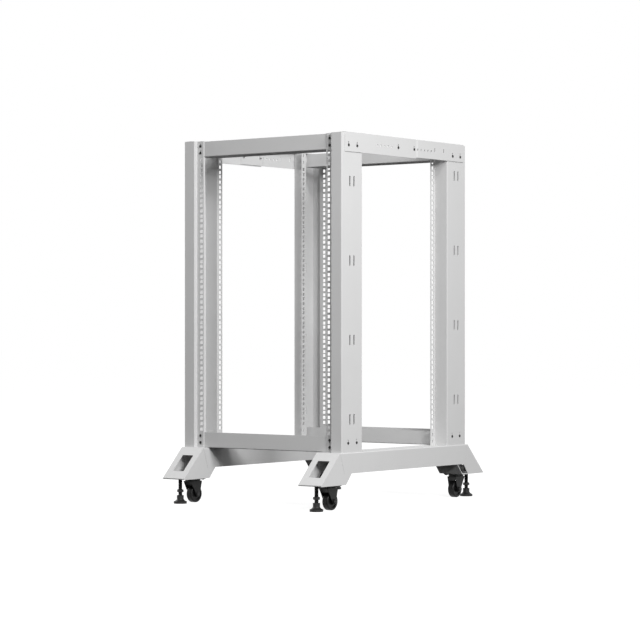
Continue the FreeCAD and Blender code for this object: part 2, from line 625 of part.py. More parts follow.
def leveller_pad():
    """The levelling foot's bell-shaped pad, turned about the stem."""
    y = FRONT - LEVELLER_REACH
    rim, neck = PAD_DIAMETER / 2, PAD_NECK / 2
    socket = STEM_DIAMETER / 2 + FIT_GAP
    waist = PAD_RIM + (PAD_HEIGHT - PAD_RIM) * 0.4

    def place(r, z):
        return vector(r, 0, z)

    flare_middle = place(neck + (rim - neck) * 0.32, PAD_RIM + (waist - PAD_RIM) * 0.42)
    edges = [
        Part.LineSegment(place(0, 0), place(rim, 0)).toShape(),
        Part.LineSegment(place(rim, 0), place(rim, PAD_RIM)).toShape(),
        Part.Arc(place(rim, PAD_RIM), flare_middle, place(neck, waist)).toShape(),
        Part.LineSegment(place(neck, waist), place(neck, PAD_HEIGHT)).toShape(),
        Part.LineSegment(place(neck, PAD_HEIGHT), place(socket, PAD_HEIGHT)).toShape(),
        Part.LineSegment(place(socket, PAD_HEIGHT), place(socket, STEM_SEAT)).toShape(),
        Part.LineSegment(place(socket, STEM_SEAT), place(0, STEM_SEAT)).toShape(),
        Part.LineSegment(place(0, STEM_SEAT), place(0, 0)).toShape(),
    ]
    pad = Part.Face(Part.Wire(edges)).revolve(ORIGIN, Z_AXIS, 360)
    pad.translate(vector(FOOT_CENTRE_X, y, 0))
    return pad


def corner_copies(name, shape):
    """The front right piece and its mirror images at the other three corners."""
    left = mirrored(shape, X_AXIS)
    return {
        name + "_front_right": shape,
        name + "_front_left": left,
        name + "_rear_right": mirrored(shape, Y_AXIS),
        name + "_rear_left": mirrored(left, Y_AXIS),
    }


def foot_copies(shape):
    """The front right foot, moved to the front left, and the pair turned half round to the rear."""
    left = shape.copy()
    left.translate(X_AXIS * -2 * FOOT_CENTRE_X)
    return {
        "foot_front_right": shape,
        "foot_front_left": left,
        "foot_rear_left": turned(shape, Z_AXIS),
        "foot_rear_right": turned(left, Z_AXIS),
    }


def all_nodes():
    """Every node of the rack by its name."""
    post = front_right_post()
    nodes = {
        "post_front_right": post,
        "post_rear_right": turned(post, X_AXIS),
        "post_front_left": turned(post, Y_AXIS),
        "post_rear_left": turned(post, Z_AXIS),
    }
    nodes.update(beams())
    front_rail, rear_rail = top_rails()
    nodes["top_rail_right_front"] = front_rail
    nodes["top_rail_right_rear"] = rear_rail
    nodes["top_rail_left_front"] = mirrored(front_rail, X_AXIS)
    nodes["top_rail_left_rear"] = mirrored(rear_rail, X_AXIS)
    rail = floor_rail()
    nodes["floor_rail_right"] = rail
    nodes["floor_rail_left"] = mirrored(rail, X_AXIS)
    nodes.update(foot_copies(foot()))
    nodes.update(corner_copies("castor_plate", castor_plate()))
    nodes.update(corner_copies("castor_fork", castor_fork()))
    nodes.update(corner_copies("castor_axle", castor_axle()))
    nodes.update(corner_copies("castor_wheel", castor_wheel()))
    nodes.update(corner_copies("leveller_stem", leveller_stem()))
    nodes.update(corner_copies("leveller_pad", leveller_pad()))
    return nodes


os.makedirs("parts", exist_ok=True)
for node_name, node_shape in all_nodes().items():
    solids = node_shape.Solids
    bounds = node_shape.BoundBox
    node_shape.exportStep("parts/" + node_name + ".step")
    print(
        f"{node_name}: solids {len(solids)} valid {node_shape.isValid()} volume {node_shape.Volume:.0f}"
        f" X {bounds.XMin:.1f} {bounds.XMax:.1f} Y {bounds.YMin:.1f} {bounds.YMax:.1f}"
        f" Z {bounds.ZMin:.1f} {bounds.ZMax:.1f}"
    )
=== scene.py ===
"""Looks of an open-frame rack: its finishes, and the screws, nuts and threads that its solids leave out.

Lengths are in metres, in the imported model's frame: X to the right, Y to the rear and Z up from the floor.
"""
import logging
import math
from dataclasses import dataclass, field
from enum import Enum
from typing import Sequence

import bmesh
import bpy
import numpy as np
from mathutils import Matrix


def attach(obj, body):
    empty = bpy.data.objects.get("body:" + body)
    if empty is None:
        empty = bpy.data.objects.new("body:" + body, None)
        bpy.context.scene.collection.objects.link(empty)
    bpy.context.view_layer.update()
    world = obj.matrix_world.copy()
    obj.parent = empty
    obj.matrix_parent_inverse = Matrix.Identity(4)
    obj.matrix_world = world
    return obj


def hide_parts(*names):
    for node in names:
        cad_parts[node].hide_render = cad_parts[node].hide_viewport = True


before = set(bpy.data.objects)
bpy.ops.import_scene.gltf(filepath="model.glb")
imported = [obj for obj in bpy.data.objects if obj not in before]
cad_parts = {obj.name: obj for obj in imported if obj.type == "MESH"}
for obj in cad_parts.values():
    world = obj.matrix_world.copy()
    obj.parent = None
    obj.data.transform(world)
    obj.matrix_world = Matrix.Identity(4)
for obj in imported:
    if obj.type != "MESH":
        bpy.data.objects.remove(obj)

LOG = logging.getLogger("rack")
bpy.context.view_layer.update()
MM = 0.001
Array = np.ndarray
Point = tuple[float, float, float]
NODE_STEP = 220
RING_POINTS = 24
CHAMFER_START = 0.475
CHAMFER_SLOPE = 1.75
NUT_STEPS = (0.0, 0.04, 0.09, 0.16)
COLLAR_STEPS = (0.0, 0.05, 0.1, 0.18)


class Corner(Enum):
    """The rack's four corners, each with its label and the signs of its X and Y."""

    FRONT_LEFT = ("front_left", -1, -1)
    FRONT_RIGHT = ("front_right", 1, -1)
    REAR_LEFT = ("rear_left", -1, 1)
    REAR_RIGHT = ("rear_right", 1, 1)

    @property
    def label(self) -> str:
        """The corner's name as the model's nodes use it."""
        return self.value[0]

    @property
    def side(self) -> int:
        """The sign of the corner's X."""
        return self.value[1]

    @property
    def end(self) -> int:
        """The sign of the corner's Y."""
        return self.value[2]


class Facing(Enum):
    """The ways a fastener's head can point, as the rows of its turn."""

    RIGHT = ((0, 0, 1), (0, 1, 0), (-1, 0, 0))
    LEFT = ((0, 0, -1), (0, 1, 0), (1, 0, 0))
    FRONT = ((1, 0, 0), (0, 0, -1), (0, 1, 0))
    REAR = ((1, 0, 0), (0, 0, 1), (0, -1, 0))
    UP = ((1, 0, 0), (0, 1, 0), (0, 0, 1))
    DOWN = ((1, 0, 0), (0, -1, 0), (0, 0, -1))

    @property
    def turn(self) -> Array:
        """The rotation matrix that carries +Z to this facing."""
        return np.array(self.value, float)

    @staticmethod
    def across(side: int) -> "Facing":
        """Right for a positive side and left for a negative one."""
        return Facing.RIGHT if side > 0 else Facing.LEFT

    @staticmethod
    def along(end: int) -> "Facing":
        """Rear for a positive end and front for a negative one."""
        return Facing.REAR if end > 0 else Facing.FRONT


@dataclass(frozen=True)
class RackSizes:
    """The frame's driving sizes, as the solids have them.

    Attributes:
        half_width: From the middle to the posts' outer sides.
        half_depth: From the middle to the posts' faces.
        sheet: Sheet thickness.
        strip_recess: How far a hole strip stands back from its post's face.
        rail_top: Height of the floor rails' tops, where the posts start.
        post_top: Height of the posts' tops.
        beam_screw_x: From the middle to a beam's end screws.
        beam_screw_inset: From a post's end to the nearer beam screw.
        beam_screw_pitch: Between a beam's two screws at one end.
        web_screw_middle: From a post's face to the middle of its web's screws.
        web_screw_pitch: Between a web's two screws.
        tab_screw_rise: From the floor rail's top to the web's screws.
        rail_screw_drop: From the posts' tops down to a top rail's end screws.
        rail_joint_drop: From the posts' tops down to the screws of its overlap.
        rail_joint_pitch: Between the two screws of the overlap.
        rail_nest_gap: Between the two sheets of the overlap.
        foot_x: From the middle to the castors and levelling feet.
        foot_clearance: Height of the underside of the feet's floors.
    """

    half_width: float = 287.0 * MM
    half_depth: float = 311.0 * MM
    sheet: float = 2.0 * MM
    strip_recess: float = 12.3 * MM
    rail_top: float = 160.0 * MM
    post_top: float = 1055.1 * MM
    beam_screw_x: float = 236.0 * MM
    beam_screw_inset: float = 14.5 * MM
    beam_screw_pitch: float = 20.0 * MM
    web_screw_middle: float = 50.5 * MM
    web_screw_pitch: float = 40.0 * MM
    tab_screw_rise: float = 27.0 * MM
    rail_screw_drop: float = 35.0 * MM
    rail_joint_drop: float = 27.5 * MM
    rail_joint_pitch: float = 80.0 * MM
    rail_nest_gap: float = 0.2 * MM
    foot_x: float = 248.0 * MM
    foot_clearance: float = 71.0 * MM

    def beam_screw_levels(self, top: bool) -> Array:
        """Heights of a beam's two end screws, counted from the nearer end of the posts."""
        insets = self.beam_screw_inset + np.array([0.0, self.beam_screw_pitch])
        return self.post_top - insets if top else self.rail_top + insets

    def web_screw_offsets(self) -> Array:
        """Distances of a web's two screws from the post's face, inward."""
        return self.web_screw_middle + np.array([-0.5, 0.5]) * self.web_screw_pitch


SIZES = RackSizes()


@dataclass
class Surface:
    """A mesh held as arrays.

    Attributes:
        points: Corner points, one row each.
        quads: Rows of four point numbers.
        triangles: Rows of three point numbers.
    """

    points: Array
    quads: Array
    triangles: Array = field(default_factory=lambda: np.zeros((0, 3), int))

    def copies(self, turn: Array, places: Array) -> "Surface":
        """Joins copies of the surface: each copy's point is the turn times the point, plus the copy's place.

        Args:
            turn: One rotation matrix for every copy.
            places: One place in each row.

        Returns:
            One surface that holds every copy.
        """
        spots = np.atleast_2d(np.asarray(places, float))
        turned = self.points @ turn.T
        points = (spots[:, None, :] + turned[None, :, :]).reshape(-1, 3)
        shift = (np.arange(len(spots)) * len(self.points))[:, None, None]
        quads = (self.quads[None, :, :] + shift).reshape(-1, 4)
        triangles = (self.triangles[None, :, :] + shift).reshape(-1, 3)
        return Surface(points, quads, triangles)

    @staticmethod
    def joined(parts: Sequence["Surface"]) -> "Surface":
        """Joins surfaces end to end, each part's point numbers raised by the points before it.

        Args:
            parts: The surfaces, in order.

        Returns:
            One surface that holds every part.
        """
        starts = np.cumsum([0] + [len(p.points) for p in parts[:-1]])
        points = np.concatenate([p.points for p in parts])
        quads = np.concatenate([p.quads + s for p, s in zip(parts, starts)])
        triangles = np.concatenate([p.triangles + s for p, s in zip(parts, starts)])
        return Surface(points, quads, triangles)

    def to_object(self, name: str, crease_deg: float = 35.0) -> bpy.types.Object:
        """Puts the arrays into a new mesh object at the origin, with smooth faces that break at creases.

        Args:
            name: The piece's name.
            crease_deg: The angle between faces above which an edge stays sharp.

        Returns:
            The new object, linked to the scene.
        """
        mesh = bpy.data.meshes.new(name)
        mesh.from_pydata(self.points.tolist(), [], self.quads.tolist() + self.triangles.tolist())
        work = bmesh.new()
        work.from_mesh(mesh)
        bmesh.ops.recalc_face_normals(work, faces=work.faces[:])
        work.to_mesh(mesh)
        work.free()
        mesh.polygons.foreach_set("use_smooth", np.ones(len(mesh.polygons), bool))
        mesh.set_sharp_from_angle(angle=math.radians(crease_deg))
        piece = bpy.data.objects.new(name, mesh)
        bpy.context.scene.collection.objects.link(piece)
        return piece


def grid_quads(rows: int, columns: int, loop_rows: bool) -> Array:
    """Numbers the quads of a grid of points whose columns close into a ring.

    Args:
        rows: Rings in the grid.
        columns: Points in each ring.
        loop_rows: Whether the last ring joins the first.

    Returns:
        One row of four point numbers for each quad: (r, c), (r, c + 1), (r + 1, c + 1), (r + 1, c).
    """
    row, column = np.meshgrid(np.arange(rows if loop_rows else rows - 1), np.arange(columns), indexing="ij")
    next_row, next_column = (row + 1) % rows, (column + 1) % columns
    corners = [row * columns + column, row * columns + next_column]
    corners += [next_row * columns + next_column, next_row * columns + column]
    return np.stack(corners, axis=-1).reshape(-1, 4)


def turned_grid(radius: Array, height: Array, columns: int) -> Array:
    """Points on rings about Z: x = r cos a, y = r sin a, z = h, with r and h for each ring and angle.

    Args:
        radius: Ring radii, one column, or one column for each angle.
        height: Ring heights, in the same form.
        columns: Points in each ring.

    Returns:
        An array of shape rings, columns, 3.
    """
    angle = ring_angles(columns)
    radius, height = np.broadcast_arrays(radius, height)
    radius = np.broadcast_to(radius, (len(radius), columns))
    height = np.broadcast_to(height, (len(height), columns))
    return np.stack([radius * np.cos(angle), radius * np.sin(angle), height], axis=-1)


def ring_angles(columns: int) -> Array:
    """Even angles round a full turn."""
    return np.arange(columns) * (2 * math.pi / columns)


def closed_tube(grid: Array) -> Surface:
    """A tube of rings whose first and last rings are closed by fans to the mean of each ring.

    Args:
        grid: Points by ring and angle.

    Returns:
        The closed surface.
    """
    rows, columns = grid.shape[:2]
    points = np.concatenate([grid.reshape(-1, 3), grid[:1].mean(axis=1), grid[-1:].mean(axis=1)])
    around = np.arange(columns)
    onward = (around + 1) % columns
    first = np.stack([onward, around, np.full(columns, rows * columns)], axis=-1)
    last_ring = (rows - 1) * columns
    last = np.stack([last_ring + around, last_ring + onward, np.full(columns, rows * columns + 1)], axis=-1)
    return Surface(points, grid_quads(rows, columns, False), np.concatenate([first, last]))


def looped_tube(grid: Array) -> Surface:
    """A ring of rings, such as a nut or a bead: the last ring joins the first."""
    rows, columns = grid.shape[:2]
    return Surface(grid.reshape(-1, 3), grid_quads(rows, columns, True))


def hexagon_radius(across_flats: float, columns: int) -> Array:
    """A hexagon's radius at each angle: half its flats' distance over the cosine to the nearest flat.

    Args:
        across_flats: Size across the flats.
        columns: Even angles round the turn.

    Returns:
        One radius for each angle.
    """
    angle = ring_angles(columns)
    off_flat = (angle + math.pi / 6) % (math.pi / 3) - math.pi / 6
    return across_flats / 2 / np.cos(off_flat)


def button_screw(head: float, rise: float, key: float, shank: float, length: float) -> Surface:
    """A button-head screw with a hexagon socket, its bearing face at Z = 0 and its head upward.

    The shank's rings climb to the bearing face. The head's rings follow a quarter ellipse from its rim to
    the socket's round lip. The last rings have a hexagon's radius and drop to the socket's floor.

    Args:
        head: Head diameter.
        rise: Head height.
        key: Socket size across its flats.
        shank: Shank diameter.
        length: Shank length under the head.

    Returns:
        The screw as one closed surface.
    """
    lip_over_socket = 1.06
    rim_rise = 0.22 * rise
    floor_rise = 0.35 * rise
    socket_taper = 0.97
    tip_taper = 0.84
    tip_chamfer = 0.08 * shank
    dome_rings = 7
    socket = hexagon_radius(key, RING_POINTS)
    lip = socket.max() * lip_over_socket
    sweep = np.linspace(0, math.pi / 2, dome_rings)
    dome_r = lip + (head / 2 - lip) * np.cos(sweep)
    dome_z = rim_rise + (rise - rim_rise) * np.sin(sweep)
    shank_r = np.array([tip_taper, 1.0, 1.0]) * shank / 2
    shank_z = np.array([-length, tip_chamfer - length, 0.0])
    round_r = np.concatenate([shank_r, [head / 2], dome_r])
    round_z = np.concatenate([shank_z, [0.0], dome_z])
    round_rings = np.repeat(round_r[:, None], RING_POINTS, axis=1)
    rings_r = np.concatenate([round_rings, socket[None], socket[None] * socket_taper])
    rings_z = np.concatenate([round_z, [rise, floor_rise]])[:, None]
    return closed_tube(turned_grid(rings_r, rings_z, RING_POINTS))


def chamfered_hexagon(across_flats: float, height: float, steps: Sequence[float]) -> tuple[Array, Array]:
    """Rings up a chamfered hexagon: each radius is the least of the hexagon's and the chamfer cones'.

    Args:
        across_flats: Size across the flats.
        height: The hexagon's height.
        steps: Ring heights below its middle, as shares of its height; those above mirror them.

    Returns:
        The rings' radii, and their heights over the lower face.
    """
    lower = np.array(steps)
    level = height * np.concatenate([lower, [0.5], 1 - lower[::-1]])[:, None]
    cone = across_flats * CHAMFER_START + np.minimum(level, height - level) * CHAMFER_SLOPE
    return np.minimum(hexagon_radius(across_flats, RING_POINTS)[None], cone), level


def hexagon_nut(across_flats: float, height: float, bore: float) -> Surface:
    """A chamfered hexagon nut that stands on Z = 0: the hexagon's rings, closed through the bore.

    Args:
        across_flats: Size across the flats.
        height: The nut's height.
        bore: Bore diameter.

    Returns:
        The nut as a ring of rings.
    """
    side, level = chamfered_hexagon(across_flats, height, NUT_STEPS)
    inner = np.full((1, RING_POINTS), bore / 2)
    rings_r = np.concatenate([inner, side, inner])
    rings_z = np.concatenate([[[0.0]], level, [[height]]])
    return looped_tube(turned_grid(rings_r, rings_z, RING_POINTS))


def screw_thread(diameter: float, pitch: float, low: float, high: float) -> Surface:
    """A threaded bar: its radius is a blunted triangle wave of height over pitch, less the turn.

    Args:
        diameter: Diameter over the thread's crests.
        pitch: Height of one turn.
        low: Height of the lower end.
        high: Height of the upper end.

    Returns:
        The bar as one closed surface with tapered ends.
    """
    rings_per_turn = 6
    flat = 0.12
    depth = 0.61 * pitch
    end_taper = 0.7 * pitch
    crest = diameter / 2
    rings = int(round((high - low) / pitch * rings_per_turn)) + 1
    level = np.linspace(low, high, rings)[:, None]
    phase = (level / pitch - np.arange(RING_POINTS)[None] / RING_POINTS) % 1.0
    wave = np.clip((np.abs(2 * phase - 1) - flat) / (1 - 2 * flat), 0, 1)
    from_end = np.minimum(np.minimum(level - low, high - level), end_taper)
    radius = np.minimum(crest - depth * (1 - wave), crest + from_end - end_taper)
    return closed_tube(turned_grid(radius, level, RING_POINTS))


def hexagon_collar(across_flats: float, low: float, high: float) -> Surface:
    """A solid chamfered hexagon between two heights."""
    side, level = chamfered_hexagon(across_flats, high - low, COLLAR_STEPS)
    return closed_tube(turned_grid(side, low + level, RING_POINTS))


def bead_ring(radius: float, thickness: float, height: float, level: float) -> Surface:
    """A rounded ring about Z: r = radius + thickness / 2 cos v, z = level + height / 2 sin v.

    Args:
        radius: The ring's middle radius.
        thickness: Its size along the radius.
        height: Its size along Z.
        level: The height of its middle.

    Returns:
        The bead as a ring of rings.
    """
    section_points = 12
    around = ring_angles(section_points)[:, None]
    ring_r = radius + thickness / 2 * np.cos(around)
    ring_z = level + height / 2 * np.sin(around)
    return looped_tube(turned_grid(ring_r, ring_z, 2 * RING_POINTS))


class ShaderTree:
    """A thin wrapper that places and links nodes in a material's or group's tree."""

    def __init__(self, tree: bpy.types.NodeTree) -> None:
        """Keeps the tree and starts its layout at the left."""
        self.tree = tree
        self.column = 0

    def add(self, kind: str, **values: object) -> bpy.types.Node:
        """Adds a node and sets its properties by name.

        Args:
            kind: The node's type name.
            values: Properties to set on the node.

        Returns:
            The new node.
        """
        node = self.tree.nodes.new(kind)
        node.location = (self.column * NODE_STEP, 0)
        self.column += 1
        for name, value in values.items():
            setattr(node, name, value)
        return node

    def link(self, source: bpy.types.NodeSocket, target: bpy.types.NodeSocket) -> None:
        """Links one socket to another."""
        self.tree.links.new(source, target)


def grey(shade: float) -> tuple[float, float, float, float]:
    """An opaque linear grey."""
    return (shade, shade, shade, 1.0)


def open_group(name: str, inputs: dict[str, float], outputs: Sequence[str]) -> ShaderTree:
    """Starts a shader node group with a Place vector and named floats.

    Args:
        name: The group's name.
        inputs: Default value by input name.
        outputs: Names of the outputs.

    Returns:
        A wrapper on the empty group's tree.
    """
    tree = bpy.data.node_groups.new(name, "ShaderNodeTree")
    tree.interface.new_socket(name="Place", in_out="INPUT", socket_type="NodeSocketVector")
    for label, value in inputs.items():
        socket = tree.interface.new_socket(name=label, in_out="INPUT", socket_type="NodeSocketFloat")
        socket.default_value = value
    for label in outputs:
        tree.interface.new_socket(name=label, in_out="OUTPUT", socket_type="NodeSocketFloat")
    return ShaderTree(tree)


def coat_grain_group() -> bpy.types.NodeTree:
    """The pebbled skin of a sprayed coat: coarse waves and fine pebbles added into one height.

    Returns:
        A group from Place, Grain and Wave to Height.
    """
    pebble_share = 0.6
    group = open_group("coat_grain", {"Grain": 900.0, "Wave": 140.0}, ("Height",))
    source = group.add("NodeGroupInput")
    pebbles = group.add("ShaderNodeTexNoise")
    pebbles.inputs["Detail"].default_value = 2.0
    waves = group.add("ShaderNodeTexNoise")
    waves.inputs["Detail"].default_value = 1.0
    total = group.add("ShaderNodeMath", operation="MULTIPLY_ADD")
    total.inputs[1].default_value = pebble_share
    sink = group.add("NodeGroupOutput")
    group.link(source.outputs["Place"], pebbles.inputs["Vector"])
    group.link(source.outputs["Grain"], pebbles.inputs["Scale"])
    group.link(source.outputs["Place"], waves.inputs["Vector"])
    group.link(source.outputs["Wave"], waves.inputs["Scale"])
    group.link(pebbles.outputs["Fac"], total.inputs[0])
    group.link(waves.outputs["Fac"], total.inputs[2])
    group.link(total.outputs[0], sink.inputs["Height"])
    return group.tree


def handling_group() -> bpy.types.NodeTree:
    """Broad, soft differences in sheen and tone left by spraying and handling.

    Returns:
        A group from Place, Patch, Low and High to Roughness and Tone.
    """
    group = open_group("handling", {"Patch": 9.0, "Low": 0.4, "High": 0.5}, ("Roughness", "Tone"))
    source = group.add("NodeGroupInput")
    cloud = group.add("ShaderNodeTexNoise")
    cloud.inputs["Detail"].default_value = 4.0
    spread = group.add("ShaderNodeMapRange")
    spread.inputs["From Min"].default_value = 0.3
    spread.inputs["From Max"].default_value = 0.7
    sink = group.add("NodeGroupOutput")
    group.link(source.outputs["Place"], cloud.inputs["Vector"])
    group.link(source.outputs["Patch"], cloud.inputs["Scale"])
    group.link(cloud.outputs["Fac"], spread.inputs["Value"])
    group.link(source.outputs["Low"], spread.inputs["To Min"])
    group.link(source.outputs["High"], spread.inputs["To Max"])
    group.link(spread.outputs["Result"], sink.inputs["Roughness"])
    group.link(cloud.outputs["Fac"], sink.inputs["Tone"])
    return group.tree


@dataclass(frozen=True)
class Finish:
    """One surface finish and the material it makes.

    Attributes:
        name: The material's name.
        dark: Linear grey of the darker tone.
        light: Linear grey of the lighter tone.
        smooth: Lowest roughness.
        rough: Highest roughness.
        grain: Pebbles to the metre.
        wave: Coarse waves to the metre.
        relief: Height of the grain in metres.
        metallic: Share of bare metal.
        specular: The shader's specular level.
    """

    name: str
    dark: float
    light: float
    smooth: float
    rough: float
    grain: float
    wave: float
    relief: float
    metallic: float = 0.0
    specular: float = 0.5

    def material(self, grain: bpy.types.NodeTree, handling: bpy.types.NodeTree) -> bpy.types.Material:
        """Builds the finish as a procedural material on object coordinates.

        Args:
            grain: The coat grain group.
            handling: The handling group.

        Returns:
            The new material.
        """
        made = bpy.data.materials.new(self.name)
        made.use_nodes = True
        tree = ShaderTree(made.node_tree)
        tree.tree.nodes.clear()
        place = tree.add("ShaderNodeTexCoord")
        skin = tree.add("ShaderNodeGroup", node_tree=grain)
        skin.inputs["Grain"].default_value = self.grain
        skin.inputs["Wave"].default_value = self.wave
        sheen = tree.add("ShaderNodeGroup", node_tree=handling)
        sheen.inputs["Low"].default_value = self.smooth
        sheen.inputs["High"].default_value = self.rough
        tone = tree.add("ShaderNodeMix", data_type="RGBA")
        tone.inputs["A"].default_value = grey(self.dark)
        tone.inputs["B"].default_value = grey(self.light)
        bump = tree.add("ShaderNodeBump")
        bump.inputs["Strength"].default_value = 1.0
        bump.inputs["Distance"].default_value = self.relief
        shader = tree.add("ShaderNodeBsdfPrincipled")
        shader.inputs["Metallic"].default_value = self.metallic
        shader.inputs["Specular IOR Level"].default_value = self.specular
        out = tree.add("ShaderNodeOutputMaterial")
        tree.link(place.outputs["Object"], skin.inputs["Place"])
        tree.link(place.outputs["Object"], sheen.inputs["Place"])
        tree.link(sheen.outputs["Tone"], tone.inputs["Factor"])
        tree.link(skin.outputs["Height"], bump.inputs["Height"])
        tree.link(tone.outputs["Result"], shader.inputs["Base Color"])
        tree.link(sheen.outputs["Roughness"], shader.inputs["Roughness"])
        tree.link(bump.outputs["Normal"], shader.inputs["Normal"])
        tree.link(shader.outputs["BSDF"], out.inputs["Surface"])
        return made


class Coat(Enum):
    """The rack's finishes."""

    FRAME_PAINT = Finish(
        "frame_powder_coat",
        dark=0.60,
        light=0.64,
        smooth=0.74,
        rough=0.84,
        grain=950.0,
        wave=150.0,
        relief=0.00005,
        specular=0.01,
    )
    CASTOR_STEEL = Finish(
        "castor_black_coat",
        dark=0.006,
        light=0.011,
        smooth=0.30,
        rough=0.42,
        grain=1400.0,
        wave=220.0,
        relief=0.00003,
        specular=0.2,
    )
    WHEEL = Finish(
        "wheel_black_plastic",
        dark=0.004,
        light=0.008,
        smooth=0.30,
        rough=0.42,
        grain=2200.0,
        wave=300.0,
        relief=0.00002,
        specular=0.2,
    )
    BLACK_OXIDE = Finish(
        "black_oxide_steel",
        dark=0.010,
        light=0.018,
        smooth=0.30,
        rough=0.42,
        grain=2600.0,
        wave=400.0,
        relief=0.00001,
        specular=0.3,
    )
    ZINC = Finish(
        "zinc_plated_steel",
        dark=0.50,
        light=0.58,
        smooth=0.34,
        rough=0.46,
        grain=2600.0,
        wave=400.0,
        relief=0.00001,
        metallic=0.8,
    )
    PAD = Finish(
        "pad_black_plastic",
        dark=0.010,
        light=0.016,
        smooth=0.42,
        rough=0.55,
        grain=1800.0,
        wave=250.0,
        relief=0.00003,
        specular=0.3,
    )


class Paintshop:
    """Makes each finish once and puts it on nodes and pieces."""

    def __init__(self) -> None:
        """Builds the shared groups and one material for each finish."""
        grain, handling = coat_grain_group(), handling_group()
        self.materials = {coat: coat.value.material(grain, handling) for coat in Coat}

    def coat_node(self, name: str, coat: Coat) -> None:
        """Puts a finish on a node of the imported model.

        Args:
            name: The node's name.
            coat: Its finish.
        """
        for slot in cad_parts[name].material_slots:
            slot.material = self.materials[coat]
        LOG.info("node %s: %s", name, coat.value.name)

    def coat_piece(self, piece: bpy.types.Object, coat: Coat, body: str, slot: str) -> None:
        """Puts a finish on a new piece and makes it ride on a body.

        Args:
            piece: The new piece.
            coat: Its finish.
            body: The body that it moves with.
            slot: The record's material slot for it; not used.
        """
        piece.data.materials.append(self.materials[coat])
        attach(piece, body)
        LOG.info("piece %s: %d faces, rides on %s", piece.name, len(piece.data.polygons), body)


@dataclass(frozen=True)
class Clamp:
    """Screws that point one way through sheets of one thickness.

    Attributes:
        places: Where each head bears, one place in each row.
        facing: Which way the heads point.
        grip: Thickness of the clamped sheets.
    """

    places: Array
    facing: Facing
    grip: float


@dataclass
class Fasteners:
    """Black button-head screws with zinc-plated nuts, in one size.

    Attributes:
        paint: Where the pieces get their finish.
        head: Screw head diameter.
        rise: Screw head height.
        key: Socket size across its flats.
        shank: Screw diameter.
        reach: Screw length past what it clamps.
        nut: Nut size across its flats.
        nut_height: Nut height.
    """

    paint: Paintshop
    head: float = 8.0 * MM
    rise: float = 2.2 * MM
    key: float = 2.5 * MM
    shank: float = 4.0 * MM
    reach: float = 5.5 * MM
    nut: float = 7.0 * MM
    nut_height: float = 3.2 * MM

    def fit(self, label: str, clamps: Sequence[Clamp]) -> None:
        """Builds the screws as one piece and their nuts as another, both riding on the frame.

        Args:
            label: The end of both pieces' names.
            clamps: Where the screws go.
        """
        nut = hexagon_nut(self.nut, self.nut_height, self.shank)
        screws, nuts = [], []
        for clamp in clamps:
            turn = clamp.facing.turn
            screw = button_screw(self.head, self.rise, self.key, self.shank, clamp.grip + self.reach)
            behind = turn @ np.array([0.0, 0.0, -clamp.grip - self.nut_height])
            screws.append(screw.copies(turn, clamp.places))
            nuts.append(nut.copies(turn, clamp.places + behind))
        for kind, parts, coat in (("screws_", screws, Coat.BLACK_OXIDE), ("nuts_", nuts, Coat.ZINC)):
            piece = Surface.joined(parts).to_object(kind + label)
            self.paint.coat_piece(piece, coat, "frame", "leveller_steel")


@dataclass
class Beams:
    """The four beams and the screws through their ends."""

    paint: Paintshop
    fasteners: Fasteners
    names: tuple[str, ...] = ("top_front", "top_rear", "bottom_front", "bottom_rear")

    def build(self) -> None:
        """Builds each beam's end screws, which bear on the hole strips."""
        for name in self.names:
            end = -1 if name.endswith("front") else 1
            levels = SIZES.beam_screw_levels(name.startswith("top"))
            across, rise = np.meshgrid([-SIZES.beam_screw_x, SIZES.beam_screw_x], levels)
            face = np.full(across.shape, end * (SIZES.half_depth - SIZES.strip_recess))
            places = np.stack([across, face, rise], axis=-1).reshape(-1, 3)
            self.fasteners.fit("beam_" + name, [Clamp(places, Facing.along(end), 2 * SIZES.sheet)])

    def dress(self) -> None:
        """Paints the beams."""
        for name in self.names:
            self.paint.coat_node("beam_" + name, Coat.FRAME_PAINT)


@dataclass
class Posts:
    """The four posts and the screws that hold them to the floor rails."""

    paint: Paintshop
    fasteners: Fasteners

    def build(self) -> None:
        """Builds the two screws at the foot of each post's web."""
        for corner in Corner:
            inward = corner.end * (SIZES.half_depth - SIZES.web_screw_offsets())
            places = np.stack(
                [
                    np.full(2, corner.side * SIZES.half_width),
                    inward,
                    np.full(2, SIZES.rail_top + SIZES.tab_screw_rise),
                ],
                axis=-1,
            )
            clamp = Clamp(places, Facing.across(corner.side), 2 * SIZES.sheet)
            self.fasteners.fit("post_" + corner.label, [clamp])

    def dress(self) -> None:
        """Paints the posts."""
        for corner in Corner:
            self.paint.coat_node("post_" + corner.label, Coat.FRAME_PAINT)


@dataclass
class TopRails:
    """The side rails over the posts, with their end screws and the screws of their overlap."""

    paint: Paintshop
    fasteners: Fasteners

    def build(self) -> None:
        """Builds the screws along each side rail."""
        level = SIZES.post_top - SIZES.rail_screw_drop
        joint_level = SIZES.post_top - SIZES.rail_joint_drop
        offsets = SIZES.half_depth - SIZES.web_screw_offsets()
        joint = np.array([-0.5, 0.5]) * SIZES.rail_joint_pitch
        for label, side in (("left", -1), ("right", 1)):
            outer = side * (SIZES.half_width + SIZES.sheet)
            ends = np.concatenate([-offsets, offsets])
            places = np.stack([np.full(4, outer), ends, np.full(4, level)], axis=-1)
            laps = np.stack([np.full(2, outer), joint, np.full(2, joint_level)], axis=-1)
            facing, grip = Facing.across(side), 2 * SIZES.sheet
            clamps = [Clamp(places, facing, grip), Clamp(laps, facing, grip + SIZES.rail_nest_gap)]
            self.fasteners.fit("top_rail_" + label, clamps)

    def dress(self) -> None:
        """Paints the four rail pieces."""
        for side in ("left", "right"):
            for end in ("front", "rear"):
                self.paint.coat_node(f"top_rail_{side}_{end}", Coat.FRAME_PAINT)


